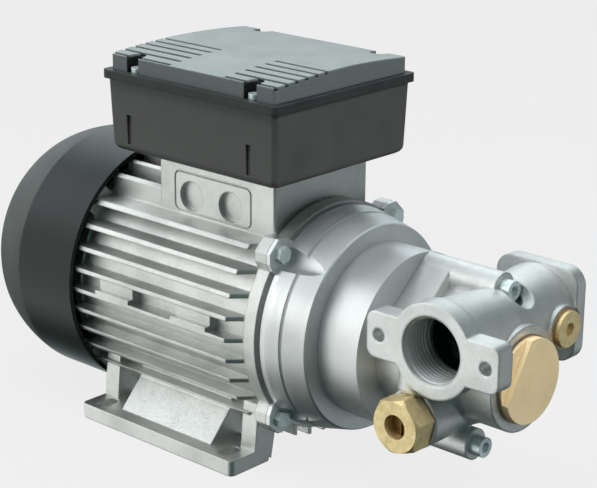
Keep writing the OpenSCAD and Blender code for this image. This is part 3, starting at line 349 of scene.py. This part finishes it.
finishes = {
    "frame_alu": cast_alloy("cast motor frame", (0.78, 0.78, 0.76), rough=0.46, metallic=1.0,
                            grain=0.5, edge=1.0),
    "shield_alu": turned_alloy("turned end shield", (0.82, 0.83, 0.83), rough=0.40, metallic=0.95),
    "housing_alu": turned_alloy("turned gear housing", (0.79, 0.80, 0.80), rough=0.42, metallic=0.93),
    "head_alu": pump_casting(),
    "cage_alu": cast_alloy("cast rotor cage", (0.66, 0.67, 0.68)),
    "core_steel": machined("laminated sheet steel", (0.30, 0.31, 0.33), 0.45),
    "winding": machined("enamelled copper", (0.55, 0.24, 0.10), 0.35),
    "steel": machined("ground steel", (0.56, 0.57, 0.58), 0.28),
    "ball_steel": machined("polished balls", (0.75, 0.76, 0.78), 0.12),
    "sintered": machined("sintered steel", (0.33, 0.34, 0.35), 0.42),
    "zinc_screw": machined("zinc plated screws", (0.66, 0.76, 0.76), 0.3, metallic=0.75, dull=0.85,
                           edge=0.35, scale=600),
    "fan_plastic": moulded("fan plastic", (0.04, 0.04, 0.045), 0.5),
    "cover_gloss": cover_plastic(),
    "box_plastic": moulded("box plastic", (0.048, 0.049, 0.046), 0.42, grain=0.3, specular=0.35),
    "lid_plastic": lid_plastic(),
    "block_plastic": moulded("block plastic", (0.25, 0.05, 0.03), 0.4),
    "capacitor_case": moulded("capacitor case", (0.75, 0.75, 0.72), 0.4),
    "seal_rubber": moulded("seal rubber", (0.015, 0.015, 0.015), 0.65, grain=0.4),
    "brass": machined("brass", (0.86, 0.68, 0.36), 0.32, metallic=0.8, dull=0.82, edge=0.35, scale=300),
    "brass_plug": machined("brass plug", (0.74, 0.59, 0.35), 0.5, metallic=0.35, dull=0.92,
                           edge=0.35, scale=60),
    "copper_seal": machined("copper seal", (0.62, 0.45, 0.33), 0.38),
    "bush_bronze": machined("bronze", (0.45, 0.27, 0.12), 0.35),
}

slots = {entry["node"]: entry["material_slot"] for entry in frame["record"]["subparts"]}
for node, thing in frame["nodes"].items():
    thing.data.materials.clear()
    thing.data.materials.append(finishes[slots[node]])


# Surfaces
def spot(x, y, s):
    """Places in metres of points given in millimetres across, up from the shaft and along to the pump."""
    x, y, s = np.broadcast_arrays(x, y, s)
    return np.stack([x, -s, y + SHAFT_Z], -1) * MM


def tube(name, points, finish, flip=False):
    """A piece on the pump from a grid of points (rows, columns, 3): four neighbours make a face, and each
    row closes into a ring. The flip turns its faces round."""
    rows, cols = points.shape[:2]
    index = np.arange(rows * cols).reshape(rows, cols)
    index = np.hstack([index, index[:, :1]])
    quads = np.stack([index[:-1, :-1], index[1:, :-1], index[1:, 1:], index[:-1, 1:]], -1).reshape(-1, 4)
    return piece(name, points.reshape(-1, 3), quads[:, ::-1] if flip else quads, finish)


def piece(name, points, faces, finish):
    """Puts points and faces of equal length into a smooth mesh that rides on the pump."""
    faces = np.asarray(faces, np.int32)
    mesh = bpy.data.meshes.new(name)
    mesh.vertices.add(len(points))
    mesh.vertices.foreach_set("co", np.ascontiguousarray(points, np.float32).ravel())
    mesh.loops.add(faces.size)
    mesh.loops.foreach_set("vertex_index", faces.ravel())
    mesh.polygons.add(len(faces))
    mesh.polygons.foreach_set("loop_start", np.arange(len(faces), dtype=np.int32) * faces.shape[1])
    mesh.polygons.foreach_set("use_smooth", np.full(len(faces), True))
    mesh.update(calc_edges=True)
    mesh.validate()
    thing = bpy.data.objects.new(name, mesh)
    bpy.context.scene.collection.objects.link(thing)
    thing.data.materials.append(finishes[finish])
    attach(thing, "pump")
    return thing


def port_thread(name, side):
    """Inside thread of a one inch pipe: radius = major - height * ridge(x / pitch - angle / full turn), with
    ridge a rounded wave from 0 to 1 that fades out near both ends. It starts just inside the port's face."""
    depth, major, height, pitch, face = 19.0, 16.62, 1.479, 2.309, 44.0
    inset, skin, fade_len = 0.35, 0.02, 0.6 * pitch
    steps, around = int(depth / pitch * 12), 128
    along = np.linspace(0.0, depth, steps)[:, None]
    angle = np.linspace(0, 2 * np.pi, around, endpoint=False)[None, :]
    phase = np.mod(along / pitch - angle / (2 * np.pi), 1.0)
    ridge = np.clip(1.25 * (1 - np.abs(2 * phase - 1)) - 0.12, 0, 1)
    fade = np.clip(along / fade_len, 0, 1) * np.clip((depth - along) / fade_len, 0, 1)
    r = major - skin - height * ridge * fade
    x = side * (face - inset - along * (depth - 0.4) / depth)
    points = spot(x, PORT_UP + r * np.sin(angle), PORT_ALONG + r * np.cos(angle))
    return tube(name, points, "head_alu", flip=side > 0)


port_thread("inlet_port_thread", -1)
port_thread("outlet_port_thread", 1)


def coil_spring(name, node):
    """Coil of round wire along X, in place of a node: radius = coil + wire * cos(b) and
    x = start - rise * a + wire * sin(b), with a the angle along the coil and b the angle round the wire,
    drawn in to a point at both ends to close them."""
    turns, turn_steps, wire_sides = 6, 32, 12
    wire, stroke = 0.7 * MM, 4 * MM
    low, high = (np.array(corner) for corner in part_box(node))
    middle = (low + high) / 2
    coil = (high[2] - low[2]) / 2 - wire
    a = np.linspace(0.0, turns * 2 * np.pi, turns * turn_steps + 1)[:, None]
    b = np.linspace(0.0, 2 * np.pi, wire_sides, endpoint=False)[None, :]
    thick = np.full_like(a, wire)
    thick[[0, -1]] = 0.0
    reach = coil + thick * np.cos(b)
    x = high[0] - wire - (high[0] - low[0] - 2 * wire) * a / a.max() + thick * np.sin(b)
    points = np.stack([x, middle[1] + reach * np.cos(a), middle[2] + reach * np.sin(a)], -1)
    thing = tube(name, points, "steel")
    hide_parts(node)
    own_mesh(thing)
    return thing


coil_spring("relief_spring_coil", "relief_spring")


# Floor, light and backdrop
# Each spot of sky: its direction, the cosines of its outer and inner edge, and its colour
LIGHTS = [
    ((-0.66, 0.72, -0.05), 0.46, 0.95, (0.92, 0.92, 0.90)),
    ((0.05, 0.50, 0.86), 0.42, 0.95, (0.86, 0.91, 0.94)),
    ((0.64, 0.66, 0.40), 0.66, 0.97, (0.48, 0.53, 0.55)),
    ((0.72, -0.60, -0.30), 0.60, 0.98, (0.22, 0.22, 0.23)),
    ((0.48, 0.64, -0.56), 0.80, 0.98, (0.26, 0.28, 0.28)),
]
ROOM = (0.050, 0.085, 0.083)
BACKDROP = 0.838
FLOOR_GLOW = 0.82
FLOOR_SIZE = 6


def sky():
    """A dim teal room with soft panels, each a smooth spot of the sky round a direction:
    light = colour * smoothstep(cosine of the angle to the direction, from its outer to its inner edge).
    All of it dims towards the floor, and the camera sees an even pale backdrop instead."""
    world = bpy.data.worlds.new("studio")
    bpy.context.scene.world = world
    world.use_nodes = True
    nodes, links = world.node_tree.nodes, world.node_tree.links
    way = nodes.new("ShaderNodeTexCoord").outputs["Generated"]
    total = nodes.new("ShaderNodeCombineXYZ")
    for axis, value in zip("XYZ", ROOM):
        total.inputs[axis].default_value = value
    total = total.outputs[0]
    for direction, outer, inner, colour in LIGHTS:
        dot = nodes.new("ShaderNodeVectorMath")
        dot.operation = "DOT_PRODUCT"
        dot.inputs[1].default_value = Vector(direction).normalized()
        links.new(way, dot.inputs[0])
        ramp = nodes.new("ShaderNodeMapRange")
        ramp.interpolation_type = "SMOOTHSTEP"
        ramp.inputs["From Min"].default_value = outer
        ramp.inputs["From Max"].default_value = inner
        links.new(dot.outputs["Value"], ramp.inputs["Value"])
        scale = nodes.new("ShaderNodeVectorMath")
        scale.operation = "SCALE"
        scale.inputs[0].default_value = colour
        links.new(ramp.outputs["Result"], scale.inputs["Scale"])
        add = nodes.new("ShaderNodeVectorMath")
        add.operation = "ADD"
        links.new(total, add.inputs[0])
        links.new(scale.outputs[0], add.inputs[1])
        total = add.outputs[0]
    split = nodes.new("ShaderNodeSeparateXYZ")
    links.new(way, split.inputs["Vector"])
    sink = nodes.new("ShaderNodeMapRange")
    sink.interpolation_type = "SMOOTHSTEP"
    sink.inputs["From Min"].default_value = -0.78
    sink.inputs["From Max"].default_value = -0.50
    sink.inputs["To Min"].default_value = 0.25
    links.new(split.outputs["Z"], sink.inputs["Value"])
    room = nodes["Background"]
    links.new(total, room.inputs["Color"])
    links.new(sink.outputs["Result"], room.inputs["Strength"])
    back = nodes.new("ShaderNodeBackground")
    back.inputs["Color"].default_value = (BACKDROP, BACKDROP, BACKDROP, 1)
    seen = nodes.new("ShaderNodeLightPath")
    mix = nodes.new("ShaderNodeMixShader")
    links.new(seen.outputs["Is Camera Ray"], mix.inputs["Fac"])
    links.new(room.outputs["Background"], mix.inputs[1])
    links.new(back.outputs["Background"], mix.inputs[2])
    links.new(mix.outputs["Shader"], nodes["World Output"].inputs["Surface"])


def pale_floor():
    """A floor as pale as the backdrop, which only the camera sees."""
    mesh = bpy.data.meshes.new("floor")
    corners = [(x * FLOOR_SIZE, y * FLOOR_SIZE, 0) for x, y in ((-1, -1), (1, -1), (1, 1), (-1, 1))]
    mesh.from_pydata(corners, [], [(0, 1, 2, 3)])
    floor = bpy.data.objects.new("floor", mesh)
    bpy.context.scene.collection.objects.link(floor)
    f = Finish("pale floor", 0.0, 0.0)
    f.paint(f.colours(f.noise(3, 2), [(0.3, (0.018, 0.018, 0.018)), (0.7, (0.022, 0.022, 0.022))]), 1.0)
    f.shader.inputs["Emission Color"].default_value = (FLOOR_GLOW, FLOOR_GLOW, FLOOR_GLOW, 1)
    f.shader.inputs["Emission Strength"].default_value = 1.0
    floor.data.materials.append(f.material)
    floor.visible_diffuse = False
    floor.visible_glossy = False
    floor.visible_shadow = False


def lamp(name, at, aim, size, watts, glossy=True):
    """A soft lamp of a width and height in metres, seen in reflections only if glossy."""
    data = bpy.data.lights.new(name, "AREA")
    data.shape = "RECTANGLE"
    data.size, data.size_y = size
    data.energy = watts
    thing = bpy.data.objects.new(name, data)
    thing.location = at
    thing.rotation_euler = (Vector(aim) - Vector(at)).to_track_quat("-Z", "Y").to_euler()
    thing.visible_camera = False
    thing.visible_glossy = glossy
    bpy.context.scene.collection.objects.link(thing)


sky()
pale_floor()
lamp("key", (-1.3, 0.35, 0.55), (0, 0, 0.08), (0.7, 0.6), 1.6)
lamp("front", (-0.1, -1.3, 0.9), (0, -0.05, 0.1), (0.8, 0.8), 24, glossy=False)
lamp("top", (-0.35, 0.10, 1.4), (0, 0, 0.1), (0.8, 0.8), 26, glossy=False)
bpy.context.scene.view_settings.view_transform = "Standard"
